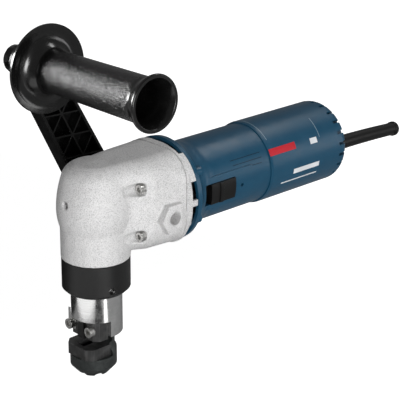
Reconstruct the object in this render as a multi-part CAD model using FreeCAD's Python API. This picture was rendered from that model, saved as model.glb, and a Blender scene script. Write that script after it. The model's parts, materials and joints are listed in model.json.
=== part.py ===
# Hand-held nibbler for roofing sheet: angled gear head, motor grip and a swivelling auxiliary handle.
# Millimetres. +Z up, +X from the punch head towards the cord, -Y is the side with the switch.
# The origin is on the flat underside of the die, on the axis of the punch head.
import FreeCAD, Part
import math
import os

os.makedirs("parts", exist_ok=True)
V = FreeCAD.Vector
ALONG_X = V(1, 0, 0)
ALONG_Y = V(0, 1, 0)
ALONG_Z = V(0, 0, 1)

# ---- driving dimensions -------------------------------------------------------------------
motorZ = 147.0            # height of the motor axis over the underside of the die
thick = 3.5               # thickest steel sheet that the tool cuts
stroke = 7.0              # travel of the punch
throw = stroke / 2.0      # crank throw
runFit = 0.05             # radial clearance of a shaft in its bush
flatFit = 0.1             # gap between flat sliding faces

neckR = 29.5              # neck of the gear housing
neckBottom = motorZ - 41.0
spigotR = 26.0            # threaded spigot under the neck
spigotBottom = motorZ - 60.0
flangeX = 62.0            # joint of the gear housing with the bearing flange
flangeHalf = 45.5         # half width of the bearing flange
flangeCorners = (41, 26, 28, 28)
rimCorners = (40, 40, 36, 36)
rimX = 75.0               # front rim of the motor housing
rimR = 46.5
gripR = 36.5              # motor housing, where it is held
gripBore = 33.0
jointX = 173.0            # joint of the motor housing with the rear cover
coverR = 38.0
coverEndX = 277.0
sideBossX = 47.5          # axis of the side handle threads
sideBossZ = motorZ - 7.6
sideBossY = 48.0
sideThreadR = 6.0         # M14 thread at its tapping diameter
sideThreadDepth = 15.0
screwY = 32.5             # the four long housing screws
screwZ = 21.0
screwHeadX = 25.0
pocketR = 5.7             # open pocket around each screw head

ringR = 29.2              # lock ring
ringBottom = motorZ - 70.8
carrierR = 22.0           # die carrier
carrierStep = motorZ - 94.7
carrierBottom = motorZ - 109.2
throatTop = motorZ - 112.3
dieTop = motorZ - 118.9
dieSeat = motorZ - 129.2
dieX = -4.6               # axis of the round die shoe
dieR = 20.1
bladeFront = -18.4        # punch blade, front and back
bladeBack = -3.0
bladeHalf = 4.0
neckHalf = 3.5            # web that joins the die to its carrier, through the kerf
neckFront = 1.0
neckBack = 16.5
neckTop = motorZ - 98.2
guideScrewZ = motorZ - 102.8     # the two screws of the punch guides

ramR = 10.0
ramBottom = motorZ - 84.0
module = 1.0
pinionTeeth = 8
wheelTeeth = 34
layPinionTeeth = 10
finalTeeth = 32
gearCentres = module * (pinionTeeth + wheelTeeth) / 2.0
layAngle = math.radians(65.0)
layY = gearCentres * math.cos(layAngle)
layZ = motorZ + gearCentres * math.sin(layAngle)
shaftR = 4.0

barX = -19.0              # axis of the handle grip
barZ = motorZ + 117.2
armY = 48.3               # near face of the handle bracket
armThick = 15.0
guardR = 37.2


# ---- helpers ------------------------------------------------------------------------------
def save(name, shape):
    if not shape.isValid():
        shape.fix(1e-4, 1e-4, 1e-4)
    print(name, "valid" if shape.isValid() else "NOT VALID", len(shape.Solids), round(shape.Volume))
    shape.exportStep("parts/" + name + ".step")


def bar(axis, radius, start, end, a=0.0, b=motorZ):
    """Round bar along one axis from start to end; a and b place it on the other two, in X, Y, Z order."""
    spots = {"x": V(start, a, b), "y": V(a, start, b), "z": V(a, b, start)}
    ways = {"x": ALONG_X, "y": ALONG_Y, "z": ALONG_Z}
    return Part.makeCylinder(radius, end - start, spots[axis], ways[axis])


def pipe(axis, outer, inner, start, end, a=0.0, b=motorZ):
    return bar(axis, outer, start, end, a, b).cut(bar(axis, inner, start - 1, end + 1, a, b))


def block(x0, x1, y0, y1, z0, z1):
    return Part.makeBox(x1 - x0, y1 - y0, z1 - z0, V(x0, y0, z0))


def polygon(points):
    return Part.Face(Part.makePolygon(points + [points[0]]))


def turned(points, origin, axis):
    """Turns a half profile of (radius, along) points a whole turn about an axis."""
    side = ALONG_Z if axis != ALONG_Z else ALONG_X
    corners = [origin + side * r + axis * t for r, t in points]
    return polygon(corners).revolve(origin, axis, 360)


def hexBar(axis, flats, start, end, a=0.0, b=motorZ, first=30.0):
    ring = flats / math.sqrt(3.0)
    corners = []
    for i in range(6):
        turn = math.radians(60 * i + first)
        p = a + ring * math.cos(turn)
        q = b + ring * math.sin(turn)
        corners.append(V(start, p, q) if axis == "x" else V(p, start, q))
    way = ALONG_X if axis == "x" else ALONG_Y
    return polygon(corners).extrude(way * (end - start))


def fuse(shapes):
    return shapes[0].fuse(shapes[1:]).removeSplitter()


def group(shapes):
    return Part.makeCompound(shapes)


def mirrorY(shape):
    return shape.mirror(V(0, 0, 0), ALONG_Y)


def roundedSection(x, half, top, bottom, corners):
    """Rounded rectangle across the motor axis; its corners run far top, near top, near bottom, far bottom."""
    low, high = motorZ + bottom, motorZ + top
    ys = [half, -half, -half, half]
    zs = [high, high, low, low]
    edges = []
    for i in range(4):
        j = (i + 1) % 4
        ay, az, by, bz = ys[i], zs[i], ys[j], zs[j]
        run = math.hypot(by - ay, bz - az)
        dy, dz = (by - ay) / run, (bz - az) / run
        radius = corners[j]
        start = V(x, ay + dy * corners[i], az + dz * corners[i])
        end = V(x, by - dy * radius, bz - dz * radius)
        edges.append(Part.makeLine(start, end))
        ny, nz = dz, -dy
        if ny * (0 - by) + nz * (motorZ - bz) < 0:
            ny, nz = -ny, -nz
        centre = V(x, by - dy * radius + ny * radius, bz - dz * radius + nz * radius)
        out = V(0, by - centre.y, bz - centre.z)
        mid = centre + out * (radius / out.Length)
        nextEnd = V(x, by + ny * radius, bz + nz * radius)
        edges.append(Part.Arc(end, mid, nextEnd).toShape())
    return Part.Wire(edges)


def gearFace(teeth, shift, toothAngle, backlash=0.16, tipCut=0.1):
    """Involute gear face in the Y-Z plane, with a tooth centred on toothAngle (from +Y towards +Z)."""
    pressure = math.radians(20.0)
    pitchR = module * teeth / 2.0
    baseR = pitchR * math.cos(pressure)
    tipR = pitchR + module * (1.0 + shift) - tipCut
    rootR = pitchR - module * (1.25 - shift)
    half = (module * (math.pi / 2 + 2 * shift * math.tan(pressure)) - backlash) / (2 * pitchR)
    involute = math.tan(pressure) - pressure

    def flankAngle(r):
        if r <= baseR:
            return half + involute
        roll = math.acos(baseR / r)
        return half + involute - (math.tan(roll) - roll)

    def at(r, angle):
        return V(0, r * math.cos(angle), r * math.sin(angle))

    startR = max(rootR, baseR * 1.0001)
    radii = [startR + (tipR - startR) * k / 4.0 for k in range(5)]
    pitch = 2 * math.pi / teeth
    edges = []
    for i in range(teeth):
        mid = toothAngle + i * pitch
        left = [at(r, mid - flankAngle(r)) for r in radii]
        right = [at(r, mid + flankAngle(r)) for r in reversed(radii)]
        foot = flankAngle(startR)
        if rootR < startR - 1e-3:
            edges.append(Part.makeLine(at(rootR, mid - foot), left[0]))
        flank = Part.BSplineCurve()
        flank.interpolate(left)
        edges.append(flank.toShape())
        edges.append(Part.Arc(left[-1], at(tipR, mid), right[0]).toShape())
        flank = Part.BSplineCurve()
        flank.interpolate(right)
        edges.append(flank.toShape())
        if rootR < startR - 1e-3:
            edges.append(Part.makeLine(right[-1], at(rootR, mid + foot)))
        nextFoot = mid + pitch - foot
        edges.append(Part.Arc(at(rootR, mid + foot), at(rootR, mid + pitch / 2), at(rootR, nextFoot)).toShape())
    return Part.Face(Part.Wire(edges))


def gear(teeth, shift, toothAngle, x0, x1, y=0.0, z=motorZ):
    face = gearFace(teeth, shift, toothAngle)
    face.translate(V(x0, y, z))
    return face.extrude(ALONG_X * (x1 - x0))


# ---- gear housing -------------------------------------------------------------------------
chamberX = 33.0
plateX = 47.0
plateThick = 4.0
bearingX = 14.0
bearingR = 14.0
bearingWide = 8.0
layBushR = 5.0
layShaftR = 3.0
bushR = 13.0
bushTop = motorZ - 22.0
bushFloor = motorZ - 53.5
carrierSpigotR = 16.0
ventR = 3.2               # blind hole in the front of the head
ventZ = motorZ + 11.1


def headShell():
    """Round barrel of the head about the punch axis, with a nearly flat top."""
    def at(r, z):
        return V(r, 0, motorZ + z)
    edges = [
        Part.makeLine(at(0, -41), at(neckR, -41)),
        Part.makeLine(at(neckR, -41), at(neckR, -14)),
        Part.Arc(at(neckR, -14), at(31.4, -7), at(32.2, 2)).toShape(),
        Part.Arc(at(32.2, 2), at(31.0, 16), at(27.9, 29)).toShape(),
        Part.Arc(at(27.9, 29), at(24.0, 37), at(16.0, 41.8)).toShape(),
        Part.makeLine(at(16.0, 41.8), at(0, 43.2)),
        Part.makeLine(at(0, 43.2), at(0, -41)),
    ]
    return Part.Face(Part.Wire(edges)).revolve(V(0, 0, 0), ALONG_Z, 360)


def gearHousing():
    sections = [
        roundedSection(-6, 26, 41.0, -32, (18, 14, 15, 15)),
        roundedSection(15, 31, 42.5, -36.5, (23, 15, 18, 18)),
        roundedSection(32, 40, 43.5, -38.5, (34, 19, 23, 23)),
        roundedSection(flangeX, 44.9, 44.5, -39.5, (40, 25, 28, 28)),
    ]
    shell = fuse([headShell(), Part.makeLoft(sections, True, True)])
    shell = shell.fuse(bar("z", spigotR, spigotBottom, neckBottom + 1, 0, 0))
    for side in (-1, 1):
        boss = hexBar("y", 25, 34, sideBossY, sideBossX, sideBossZ, 0)
        shell = shell.fuse(boss if side > 0 else mirrorY(boss))
    cuts = [
        bar("z", 20, motorZ - 22, motorZ + 33, 0, 0).common(block(-30, 13.5, -30, 30, 100, 200)),
        bar("z", bushR, bushFloor, bushTop + 1, 0, 0),
        bar("z", carrierSpigotR + runFit, spigotBottom - 1, bushFloor, 0, 0),
        bar("x", 7.5, 5, bearingX + 1),
        bar("x", bearingR, bearingX, chamberX + 1),
        bar("x", layBushR, chamberX - 8, chamberX + 1, layY, layZ),
        bar("x", 18, chamberX, plateX),
        bar("x", 9, chamberX, plateX, layY, layZ),
        bar("x", 18.5, plateX, flangeX + 1),
        bar("x", 19, plateX, flangeX + 1, layY, layZ),
        bar("x", ventR, -40, -25, 0, ventZ),
    ]
    for y in (-screwY, screwY):
        for z in (motorZ - screwZ, motorZ + screwZ):
            cuts.append(bar("x", 2.25, screwHeadX - 1, flangeX + 1, y, z))
            cuts.append(bar("x", pocketR, 6, screwHeadX, y * 1.02, z))
    thread = bar("y", sideThreadR, sideBossY - sideThreadDepth, sideBossY + 1, sideBossX, sideBossZ)
    cuts += [thread, mirrorY(thread)]
    return shell.cut(cuts)


save("gear_housing", gearHousing())

# ---- bearing flange -----------------------------------------------------------------------
tabX = 69.0
grooveWide = 0.5          # shadow groove along the joint
grooveDeep = 1.4
tabAngles = [(34, 67), (87, 94), (142, 180)]     # castellations, measured from the top down each side


def sector(x0, x1, a0, a1, reach=70.0):
    """Wedge about the motor axis; the angles run from +Z towards -Y."""
    def at(deg):
        turn = math.radians(deg)
        return V(x0, -reach * math.sin(turn), motorZ + reach * math.cos(turn))
    steps = max(2, int((a1 - a0) / 20) + 1)
    corners = [V(x0, 0, motorZ)] + [at(a0 + (a1 - a0) * k / steps) for k in range(steps + 1)]
    return polygon(corners).extrude(ALONG_X * (x1 - x0))


def bearingFlange():
    top, bottom = 45.0, -40.5
    inset = [corner - grooveDeep for corner in flangeCorners]
    foot = Part.Face(roundedSection(flangeX, flangeHalf - grooveDeep, top - grooveDeep, bottom + grooveDeep, inset))
    outline = Part.Face(roundedSection(flangeX + grooveWide, flangeHalf, top, bottom, flangeCorners))
    taper = Part.makeLoft([roundedSection(flangeX + 3, flangeHalf, top, bottom, flangeCorners),
                           roundedSection(tabX, flangeHalf, top, bottom - 1, rimCorners)], True, True)
    rimFace = Part.Face(roundedSection(tabX, flangeHalf, top, bottom - 1, rimCorners))
    rim = rimFace.extrude(ALONG_X * (rimX - tabX)).cut(bar("x", 42.6, tabX - 1, rimX + 1))
    pieces = [foot.extrude(ALONG_X * grooveWide), outline.extrude(ALONG_X * (3 - grooveWide)), taper]
    pieces.append(pipe("x", 15, shaftR + 2, tabX, 73))
    for a0, a1 in tabAngles:
        wedge = sector(tabX - 1, rimX + 1, a0, a1)
        pieces += [rim.common(wedge), rim.common(mirrorY(wedge))]
    for y in (-screwY, screwY):
        for z in (motorZ - screwZ, motorZ + screwZ):
            pieces.append(bar("x", 5, tabX, rimX, y, z))
    body = fuse(pieces)
    cuts = [
        bar("x", 11, 64, 71),
        bar("x", shaftR + 2, 60, 80),
        bar("x", layBushR, flangeX - 1, 67, layY, layZ),
    ]
    for y in (-screwY, screwY):
        for z in (motorZ - screwZ, motorZ + screwZ):
            cuts.append(bar("x", 2.25, flangeX - 1, rimX + 1, y, z))
    return body.cut(cuts)


save("bearing_flange", bearingFlange())
housingScrews = []
for y in (-screwY, screwY):
    for z in (motorZ - screwZ, motorZ + screwZ):
        head = bar("x", 4.25, screwHeadX - 5, screwHeadX, y, z).cut(hexBar("x", 4, screwHeadX - 6, screwHeadX - 2.5, y, z))
        housingScrews.append(fuse([head, bar("x", 2.2, screwHeadX, rimX + 10, y, z)]))
save("housing_screws", group(housingScrews))

# ---- punch drive: crank, ram and bushes ---------------------------------------------------
discX = 10.4
discThick = 2.6
pinR = 4.0
yokeHalf = 7.0            # half of the yoke's thickness along X
blockHalf = 7.0           # half height and half width of the sliding block
crankRise = 0.8           # room above and under the sliding block
crankZ = motorZ + throw

eccentric = fuse([
    bar("x", pinR, -8, discX + 1, 0, crankZ),
    bar("x", 11, discX, discX + discThick),
    bar("x", 6 - 0.01, discX + discThick - 1, 36),
    bar("x", 7, 34, 46),
    bar("x", 5, 46, 51),
])
save("eccentric_shaft", eccentric)
finalAngle = layAngle + math.pi / finalTeeth
finalGear = gear(finalTeeth, -0.4, finalAngle, 36, 46).cut(bar("x", 7, 30, 50))
save("final_gear", finalGear)
slider = block(-yokeHalf, yokeHalf, -blockHalf, blockHalf, crankZ - blockHalf, crankZ + blockHalf)
save("sliding_block", slider.cut(bar("x", pinR + runFit, -20, 20, 0, crankZ)))
yokeReach = blockHalf + throw + 1.1
yoke = block(-yokeHalf, yokeHalf, -16, 16, crankZ - 12, crankZ + 12)
slotGap = blockHalf + crankRise
yoke = yoke.cut(block(-20, 20, -yokeReach, yokeReach, crankZ - slotGap, crankZ + slotGap))
headR = 6.8               # round head of the punch, held in the end of the ram
headTop = ramBottom + 8.0
collarR = 7.2
punchNeckR = 4.0
ram = fuse([yoke, bar("z", ramR, ramBottom, crankZ - 11, 0, 0)])
ram = ram.cut(bar("z", collarR, ramBottom - 1, headTop + flatFit, 0, 0))
save("ram", ram)
collarTop = ramBottom + 4.4
save("punch_collar", pipe("z", collarR, punchNeckR + runFit, ramBottom, collarTop, 0, 0))
bladeTop = ramBottom - 0.2
punch = fuse([
    bar("z", headR, collarTop + flatFit, headTop, 0, 0),
    bar("z", punchNeckR, bladeTop - 0.3, collarTop + 1, 0, 0),
    block(bladeFront, 6, -bladeHalf, bladeHalf, bladeTop - 6.3, bladeTop),
    block(bladeFront, bladeBack, -bladeHalf, bladeHalf, throatTop - 0.1, bladeTop),
])
save("punch", punch)
save("ram_bush_upper", pipe("z", bushR, ramR + runFit, motorZ - 34, bushTop, 0, 0))
save("ram_bush_lower", pipe("z", bushR, ramR + runFit, bushFloor, motorZ - 42, 0, 0))
save("crank_bearing", pipe("x", bearingR, 6 + 0.03, bearingX, bearingX + bearingWide))
save("bearing_spacer", pipe("x", bearingR, 10, bearingX + bearingWide, chamberX))

# ---- gear train ---------------------------------------------------------------------------
plate = fuse([
    bar("x", 18.5, plateX, plateX + plateThick),
    bar("x", 19, plateX, plateX + plateThick, layY, layZ),
])
save("gear_plate", plate.cut([bar("x", 7, 40, 60), bar("x", 5.5, 40, 60, layY, layZ)]))
save("crank_rear_bush", pipe("x", 7, 5 + runFit, plateX, plateX + plateThick))
towardsMotor = layAngle + math.pi
layPinion = gear(layPinionTeeth, 0.4, towardsMotor, 35, 46.2, layY, layZ)
layShaft = fuse([
    layPinion,
    bar("x", layShaftR, chamberX - 7.5, 36, layY, layZ),
    bar("x", 4.1, 46, 61, layY, layZ),
    bar("x", layShaftR, 60, 66.5, layY, layZ),
])
save("countershaft", layShaft)
layWheel = gear(wheelTeeth, -0.5, towardsMotor, 52.5, 60.5, layY, layZ)
lightening = []
for k in range(6):
    turn = math.radians(60 * k)
    lightening.append(bar("x", 3, 50, 62, layY + 9.5 * math.cos(turn), layZ + 9.5 * math.sin(turn)))
save("countershaft_gear", layWheel.cut([bar("x", 4.1, 50, 62, layY, layZ)] + lightening))
save("countershaft_front_bush", pipe("x", layBushR, layShaftR + runFit, chamberX - 8, chamberX, layY, layZ))
save("countershaft_rear_bush", pipe("x", layBushR, layShaftR + runFit, flangeX, 67, layY, layZ))

# ---- armature -----------------------------------------------------------------------------
pinionAngle = layAngle + math.pi / pinionTeeth
armaturePinion = gear(pinionTeeth, 0.5, pinionAngle, 52.2, 61.6)
save("armature_shaft", fuse([armaturePinion, bar("x", shaftR, 61, 213)]))
coreX0, coreX1 = 110.0, 165.0
coreR = 22.0


def slottedCore():
    core = pipe("x", coreR, shaftR, coreX0, coreX1)
    slots = []
    for k in range(12):
        turn = 360.0 * k / 12
        slot = block(coreX0 - 1, coreX1 + 1, -0.9, 0.9, motorZ + 15, motorZ + coreR + 1)
        slot.rotate(V(0, 0, motorZ), ALONG_X, turn)
        slots.append(slot)
    return core.cut(slots)


save("armature_core", slottedCore())
coilEnd = [(6, 0), (17, 0), (20.5, 3), (20.5, 6), (17, 10), (6, 10)]
frontEnd = turned(coilEnd, V(coreX0 - 10, 0, motorZ), ALONG_X)
rearEnd = turned(coilEnd, V(coreX1, 0, motorZ), ALONG_X)
sleeve = pipe("x", 6, shaftR, coreX0 - 10, coreX0)
sleeveRear = pipe("x", 6, shaftR, coreX1, coreX1 + 10)
save("armature_windings", group([fuse([frontEnd, sleeve]), fuse([rearEnd, sleeveRear])]))
commX0, commX1 = 181.0, 199.0
commR = 13.0
grooves = []
for k in range(24):
    groove = block(commX0 + 1.5, commX1 + 1, -0.25, 0.25, motorZ + commR - 1, motorZ + commR + 1)
    groove.rotate(V(0, 0, motorZ), ALONG_X, 15.0 * k)
    grooves.append(groove)
save("commutator", pipe("x", commR, shaftR, commX0, commX1).cut(grooves))
fanR = 30.9
fanX0, fanX1 = 78.0, 92.0
blades = []
for k in range(14):
    blade = block(fanX0, fanX1 - 2, -0.9, 0.9, motorZ + 12, motorZ + fanR - 0.5)
    blade.rotate(V(0, 0, motorZ + 12), ALONG_X, 25)
    blade.rotate(V(0, 0, motorZ), ALONG_X, 360.0 * k / 14)
    blades.append(blade)
fanDisc = bar("x", fanR, fanX1 - 2.5, fanX1)
blades = [b.common(bar("x", fanR, fanX0, fanX1)) for b in blades]
fan = fuse([fanDisc, bar("x", 9, fanX0, fanX1)] + blades)
save("cooling_fan", fan.cut(bar("x", shaftR, 60, 100)))
save("front_motor_bearing", pipe("x", 11, shaftR + 0.03, 64, 71))
save("rear_motor_bearing", pipe("x", 11, shaftR + 0.03, 205, 212))

# ---- stator and brushes -------------------------------------------------------------------
statorR = 31.0
save("stator_core", pipe("x", statorR, coreR + 0.6, 108, 167))
fieldCoils = [pipe("x", 29.5, 23.2, 99, 108), pipe("x", 29.5, 23.2, 167, 176)]
save("field_coils", group(fieldCoils))
holders, brushes, springs = [], [], []
for side in (0, 180):
    holder = block(183, 197, -6, 6, motorZ + 15, motorZ + 31).cut(block(185, 195, -3.6, 3.6, motorZ + 10, motorZ + 29.5))
    brush = block(185.2, 194.8, -3.4, 3.4, motorZ + commR + 0.3, motorZ + 23)
    spring = pipe("y", 3.0, 1.2, -2.6, 2.6, 190, motorZ + 26.2)      # rolled strip behind the brush
    for shape, rack in ((holder, holders), (brush, brushes), (spring, springs)):
        shape.rotate(V(190, 0, motorZ), ALONG_X, side)
        rack.append(shape)
save("brush_holders", group(holders))
save("carbon_brushes", group(brushes))
save("brush_springs", group(springs))

# ---- motor housing ------------------------------------------------------------------------
switchX0, switchX1 = 98.0, 127.0
switchTravel = 6.0
switchHalf = 9.6
switchZ = motorZ - 2.0
linkHalf = 4.0
linkEnd = 214.0
shoeEnd = 131.0           # end of the shoe that holds the slider behind the wall
flareEnd = 107.0          # where the flared front runs into the grip
lipR = 34.4               # lip inside the rear cover


def motorHousing():
    def at(r, x):
        return V(x, 0, motorZ + r)
    outer = [
        Part.makeLine(at(0, rimX), at(rimR, rimX)),
        Part.makeLine(at(rimR, rimX), at(rimR - 0.6, rimX + 5)),
        Part.Arc(at(rimR - 0.6, rimX + 5), at(40.8, 86), at(gripR + 0.9, flareEnd - 10)).toShape(),
        Part.Arc(at(gripR + 0.9, flareEnd - 10), at(gripR + 0.1, flareEnd - 6), at(gripR, flareEnd)).toShape(),
        Part.makeLine(at(gripR, flareEnd), at(gripR, jointX)),
        Part.makeLine(at(gripR, jointX), at(lipR, jointX)),
        Part.makeLine(at(lipR, jointX), at(lipR, jointX + 6)),
        Part.makeLine(at(lipR, jointX + 6), at(0, jointX + 6)),
        Part.makeLine(at(0, jointX + 6), at(0, rimX)),
    ]
    body = Part.Face(Part.Wire(outer)).revolve(V(0, 0, motorZ), ALONG_X, 360)
    panel = block(86, 150, -gripR - 1.2, -gripR + 8, switchZ - 15, switchZ + 15)
    panel = panel.common(bar("x", gripR + 1.0, 80, 160))
    body = fuse([body, panel])
    bore = turned([(0, rimX - 1), (43.4, rimX - 1), (43.2, rimX + 5), (38, 83), (gripBore + 2, 90),
                   (gripBore, 96), (gripBore, jointX + 8), (0, jointX + 8)], V(0, 0, motorZ), ALONG_X)
    body = body.cut(bore)
    posts = []
    for y in (-screwY, screwY):
        for z in (motorZ - screwZ, motorZ + screwZ):
            posts.append(bar("x", 4.6, rimX, rimX + 13, y, z))
    for turn in (45, 135, 225, 315):
        rib = block(108, 167, -2, 2, motorZ + statorR + 0.02, motorZ + gripBore + 1)
        rib.rotate(V(0, 0, motorZ), ALONG_X, turn)
        posts.append(rib)
    body = body.fuse(posts)
    cuts = [
        block(switchX0 - switchTravel - 0.5, switchX1 + 0.5, -50, -20, switchZ - switchHalf, switchZ + switchHalf),
        bar("y", 1.6, -40, -30, 136, switchZ),
    ]
    for y in (-screwY, screwY):
        for z in (motorZ - screwZ, motorZ + screwZ):
            cuts.append(bar("x", 2.2, rimX - 1, rimX + 10, y, z))
    body = body.cut(cuts)
    return body


save("motor_housing", motorHousing())
save("air_baffle", pipe("x", gripBore, 24, 96, 98).cut(block(90, 100, -40, -25, switchZ - 15, switchZ + 15)))


def switchSlider():
    """Thumb slider with a curved, ridged face; a shoe behind the wall keeps it in its opening."""
    gap = 0.35
    half = switchHalf - gap
    button = block(switchX0, switchX1, -gripR - 3.6, -gripBore + 0.2, switchZ - half, switchZ + half)
    shape = bar("x", gripR + 2.6, switchX0, switchX1)
    button = button.common(fuse([shape, bar("x", gripR + 3.5, 108, 112)]))
    shoe = pipe("x", gripBore - 0.35, gripBore - 1.6, switchX0 - 1, shoeEnd)
    shoe = shoe.common(block(80, 140, -40, -20, switchZ - 13, switchZ + 13))
    post = block(104, 120, -gripBore - 1, -gripBore + 1, switchZ - 4, switchZ + 4)
    return fuse([button, post, shoe])


save("switch_slider", switchSlider())
save("switch_link", block(shoeEnd, linkEnd, -32.3, -31.4, switchZ - linkHalf, switchZ + linkHalf))

# ---- rear cover ---------------------------------------------------------------------------
coverBore = 34.5
cordZ = motorZ - 11.4
sleeveR = 6.9
sleeveBore = 4.0
sleeveEnd = 391.5
postY, postZ = 22.0, motorZ + 14.0


def rearCover():
    def at(r, x):
        return V(x, 0, motorZ + r)
    outer = [
        Part.makeLine(at(0, jointX), at(gripR + 0.9, jointX)),
        Part.makeLine(at(gripR + 0.9, jointX), at(coverR, jointX + 3)),
        Part.makeLine(at(coverR, jointX + 3), at(coverR, coverEndX - 10)),
        Part.Arc(at(coverR, coverEndX - 10), at(coverR - 2.6, coverEndX - 2.6), at(coverR - 10, coverEndX)).toShape(),
        Part.makeLine(at(coverR - 10, coverEndX), at(0, coverEndX)),
        Part.makeLine(at(0, coverEndX), at(0, jointX)),
    ]
    body = Part.Face(Part.Wire(outer)).revolve(V(0, 0, motorZ), ALONG_X, 360)
    bore = turned([(0, jointX - 1), (coverBore, jointX - 1), (coverBore, coverEndX - 9), (28, coverEndX - 3),
                   (0, coverEndX - 3)], V(0, 0, motorZ), ALONG_X)
    body = body.cut(bore)
    body = body.fuse([bar("x", 4.5, 213, coverEndX - 2, y, postZ) for y in (-postY, postY)])
    cuts = [bar("x", sleeveR, coverEndX - 6, coverEndX + 5, 0, cordZ)]
    for y in (-postY, postY):
        cuts.append(bar("x", 2.1, 210, coverEndX + 1, y, postZ))
        cuts.append(bar("x", 4.2, coverEndX - 6, coverEndX + 1, y, postZ))
    for k in range(17):
        turn = -128 + 16 * k
        slot = block(coverEndX - 13, coverEndX + 2, -1.5, 1.5, motorZ + 31, motorZ + 45)
        slot.rotate(V(0, 0, motorZ), ALONG_X, turn)
        cuts.append(slot)
    return body.cut(cuts)


save("rear_cover", rearCover())
coverScrews = []
for y in (-postY, postY):
    head = bar("x", 4.0, coverEndX - 6, coverEndX - 3, y, postZ).cut(hexBar("x", 3, coverEndX - 5, coverEndX, y, postZ))
    coverScrews.append(fuse([head, bar("x", 2.0, 206, coverEndX - 5.5, y, postZ)]))
save("rear_cover_screws", group(coverScrews))
plateHoles = [bar("x", 11, 205, 212), bar("x", 6, 190, 220)]
plateHoles += [bar("x", 2.0, 200, 220, y, postZ) for y in (-postY, postY)]
plateHoles.append(block(200, 216, -40, -30.8, switchZ - 5, switchZ + 5))
for k in range(6):
    turn = math.radians(180 + 36 * k)
    plateHoles.append(bar("x", 5, 190, 220, 23 * math.cos(turn), motorZ + 23 * math.sin(turn)))
rearPlate = fuse([bar("x", coverBore, 207, 213), bar("x", 14, 203, 213)])
save("rear_bearing_plate", rearPlate.cut(plateHoles))
save("switch_module", block(216, 250, -14, 14, motorZ - 9, motorZ + 8))
save("interference_capacitor", bar("x", 7, 218, 246, 0, motorZ + 22))

# ---- cord entry ---------------------------------------------------------------------------
sleeveProfile = [(sleeveBore, 266), (9.5, 266), (9.5, coverEndX - 6.5), (9.5, coverEndX - 3), (sleeveR, coverEndX - 3),
                 (sleeveR, 300), (6.3, sleeveEnd - 6), (7.25, sleeveEnd - 4.5), (7.25, sleeveEnd - 1.5),
                 (6.6, sleeveEnd), (sleeveBore, sleeveEnd)]
save("cord_guard", turned(sleeveProfile, V(0, 0, cordZ), ALONG_X))
clampHalf = 12.0
clamp = block(255, 263, -clampHalf, clampHalf, cordZ - 1, cordZ + 7).cut(bar("x", sleeveBore, 250, 270, 0, cordZ - 1))
clampHoles = [bar("z", 1.5, cordZ - 12, cordZ + 10, 259, y) for y in (-8.5, 8.5)]
save("cord_clamp", clamp.cut(clampHoles))
saddle = block(252, 264.5, -clampHalf, clampHalf, cordZ - 30, cordZ - 2).cut(bar("x", sleeveBore, 250, 270, 0, cordZ - 1))
saddle = saddle.common(bar("x", coverBore, 250, 270)).cut(clampHoles)
save("cord_saddle", saddle)
clampScrews = []
for y in (-8.5, 8.5):
    clampScrews.append(fuse([bar("z", 1.5, cordZ - 11, cordZ + 8, 259, y), bar("z", 2.8, cordZ + 7, cordZ + 9, 259, y)]))
save("cord_clamp_screws", group(clampScrews))

# ---- lock ring and die carrier ------------------------------------------------------------
carrierTop = spigotBottom - 0.15
collarFlangeR = 25.6
flangeFoot = spigotBottom - 6.0


def lockRing():
    ring = turned([(0, ringBottom), (ringR - 3, ringBottom), (ringR, ringBottom + 3), (ringR, neckBottom - 0.3),
                   (0, neckBottom - 0.3)], V(0, 0, 0), ALONG_Z)
    cuts = [
        bar("z", spigotR + runFit, flangeFoot - 0.15, neckBottom + 1, 0, 0),
        bar("z", carrierR + runFit, ringBottom - 1, flangeFoot, 0, 0),
    ]
    for k in range(3):
        turn = math.radians(257.6 + 120 * k)
        way = V(math.cos(turn), math.sin(turn), 0)
        cuts.append(Part.makeCylinder(3, 6, V(0, 0, motorZ - 63.6) + way * (ringR - 3.4), way))
    return ring.cut(cuts)


save("lock_ring", lockRing())


def dieCarrier():
    body = fuse([
        bar("z", carrierSpigotR, carrierTop - 1, bushFloor - 0.3, 0, 0),
        bar("z", collarFlangeR, flangeFoot, carrierTop, 0, 0),
        bar("z", carrierR, carrierBottom, carrierTop, 0, 0),
    ])
    cuts = [
        bar("z", ramR + 1.5, ramBottom - stroke - 0.5, motorZ, 0, 0),
        block(bladeFront - flatFit, 6 + flatFit, -bladeHalf - runFit, bladeHalf + runFit, neckTop, ramBottom + 0.5),
        block(neckFront, neckBack, -neckHalf, neckHalf, 0, neckTop + 0.05),
        block(-40, bladeBack + flatFit, -40, 40, 0, carrierStep),
        bar("x", 4, neckBack - 1, 40, 0, guideScrewZ),
    ]
    for y in (-12.5, 12.5):
        cuts.append(bar("x", 2.5, bladeBack, 8, y, guideScrewZ))
    return body.cut(cuts)


save("die_carrier", dieCarrier())
guideFront = -16.2
guideHalf = 18.0
guides = []
for side in (1, -1):
    guideFace = polygon([V(bladeBack + flatFit, bladeHalf + runFit, throatTop),
                         V(guideFront, bladeHalf + runFit, throatTop),
                         V(guideFront, 13.2, throatTop),
                         V(guideFront + 4.2, guideHalf, throatTop),
                         V(bladeBack + flatFit, guideHalf, throatTop)])
    guide = guideFace.extrude(ALONG_Z * (carrierStep - throatTop))
    guide = guide.cut(bar("x", 2.5, -30, 0, 12.5, guideScrewZ))
    guides.append(guide if side > 0 else mirrorY(guide))
save("punch_guides", group(guides))
tabThick = 0.8
guideScrews = []
for y in (-12.5, 12.5):
    seat = guideFront - tabThick if y > 0 else guideFront
    head = bar("x", 4.6, seat - 4.6, seat, y, guideScrewZ)
    head = head.cut(hexBar("x", 5, seat - 5, seat - 1.8, y, guideScrewZ))
    guideScrews.append(fuse([head, bar("x", 2.5, seat - 0.5, 6, y, guideScrewZ)]))
save("guide_screws", group(guideScrews))
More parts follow.
